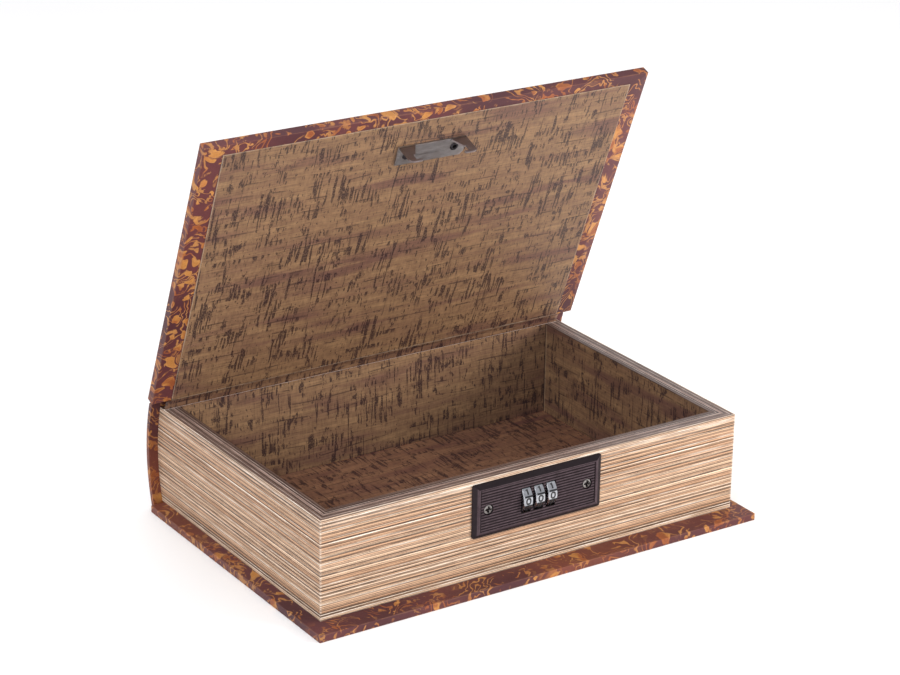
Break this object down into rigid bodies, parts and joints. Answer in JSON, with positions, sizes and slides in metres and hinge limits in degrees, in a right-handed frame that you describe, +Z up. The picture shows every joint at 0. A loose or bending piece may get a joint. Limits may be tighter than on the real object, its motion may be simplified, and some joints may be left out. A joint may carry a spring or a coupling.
{
  "type": "book-shaped combination lock box",
  "caption": "Book-shaped keepsake box with a hinged cover lid, a lined tray, a striker with hooks and a front combination lock with turning number wheels.",
  "frame": {"origin": "on the underside of the base cover, in the middle of the page block's length and depth", "axes": "+X right along the fore edge, +Y back from the fore edge to the spine, +Z up"},
  "size_m": [0.256, 0.1758, 0.2114],
  "materials": {
    "cover_paper": "semi-gloss printed paper with gold marbling on dark maroon",
    "page_paper": "matte paper printed with fine page lines",
    "lining_paper": "matte paper printed with a cork and bamboo pattern",
    "board": "raw grey board",
    "fibreboard": "raw medium density fibreboard",
    "dark_plate": "satin dark plum-black paint",
    "case_metal": "die-cast zinc, matte grey",
    "steel": "satin steel sheet",
    "chrome": "bright plating with black digits",
    "brass": "turned brass",
    "black_screw": "blackened steel"
  },
  "bodies": {
    "base": {"base_board": "board", "base_cover_paper": "cover_paper", "front_wall": "fibreboard", "back_wall": "fibreboard", "left_wall": "fibreboard", "right_wall": "fibreboard", "page_edge_paper": "page_paper", "rim_paper": "page_paper", "wall_lining": "lining_paper", "floor_lining": "lining_paper", "spine_board": "board", "spine_cover_paper": "cover_paper", "hinge_cover_strip": "cover_paper", "hinge_lining_strip": "lining_paper", "lock_faceplate": "dark_plate", "lock_case": "case_metal", "lock_screws": "chrome", "wheel_axle": "steel", "detent_spring": "steel", "detent_rivets": "steel", "latch_guide_pins": "steel", "latch_spring_left": "steel", "latch_spring_right": "steel"},
    "lid": {"lid_board": "board", "lid_cover_paper": "cover_paper", "lid_lining": "lining_paper", "striker_plate": "steel", "striker_screw": "black_screw", "striker_eyelet": "chrome"},
    "wheel_1": {"number_wheel_1": "chrome", "cam_sleeve_1": "brass"},
    "wheel_2": {"number_wheel_2": "chrome", "cam_sleeve_2": "brass"},
    "wheel_3": {"number_wheel_3": "chrome", "cam_sleeve_3": "brass"},
    "latch": {"latch_plate": "steel"}
  },
  "joints": [
    {"name": "lid_hinge", "type": "hinge", "parent": "base", "child": "lid", "pos_m": [0, 0.07585, 0.0586], "axis": [-1, 0, 0], "range_deg": [-68, 42], "deforming": ["hinge_cover_strip", "hinge_lining_strip"]},
    {"name": "wheel_1_turn", "type": "hinge", "parent": "base", "child": "wheel_1", "pos_m": [-0.00715, -0.0754, 0.0392], "axis": [1, 0, 0], "continuous": true},
    {"name": "wheel_2_turn", "type": "hinge", "parent": "base", "child": "wheel_2", "pos_m": [0, -0.0754, 0.0392], "axis": [1, 0, 0], "continuous": true},
    {"name": "wheel_3_turn", "type": "hinge", "parent": "base", "child": "wheel_3", "pos_m": [0.00715, -0.0754, 0.0392], "axis": [1, 0, 0], "continuous": true},
    {"name": "latch_slide", "type": "slide", "parent": "base", "child": "latch", "axis": [0, -1, 0], "range_m": [0, 0.0016], "stiffness_N_per_m": 600, "springref_m": -0.001, "deforming": ["latch_spring_left", "latch_spring_right"]}
  ]
}
